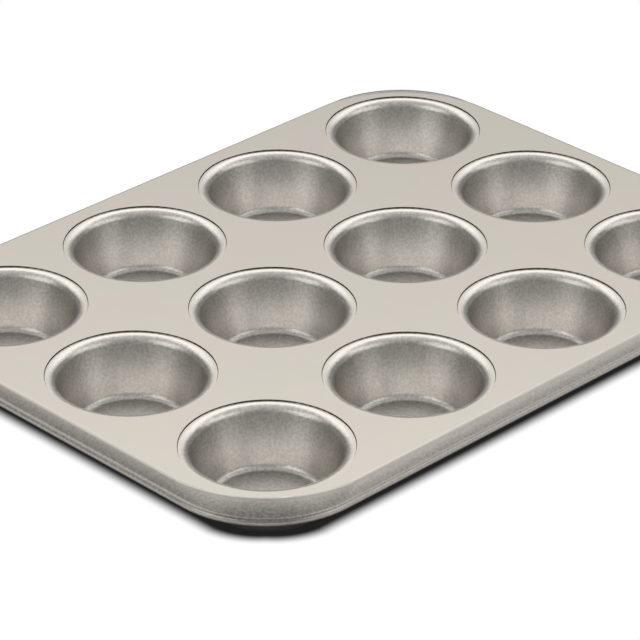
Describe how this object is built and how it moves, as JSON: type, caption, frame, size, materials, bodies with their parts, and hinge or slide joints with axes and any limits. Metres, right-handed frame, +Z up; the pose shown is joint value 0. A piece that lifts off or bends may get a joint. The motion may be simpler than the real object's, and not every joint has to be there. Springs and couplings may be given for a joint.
{
  "type": "muffin pan",
  "caption": "Shallow baking pan pressed from one sheet: a flat deck with rounded corners, drawn round cups with a stepped ring, a sloping skirt and a rolled edge.",
  "frame": {"origin": "bottom centre of the pan, on the plane of the cups' undersides", "axes": "+Z up, out of the cups' mouths; +X along the pan's long side"},
  "size_m": [0.3554, 0.2714, 0.0274],
  "materials": {
    "coated_steel": "satin metallic non-stick coating, pale champagne grey"
  },
  "bodies": {
    "root": {"muffin_pan": "coated_steel"}
  },
  "joints": []
}
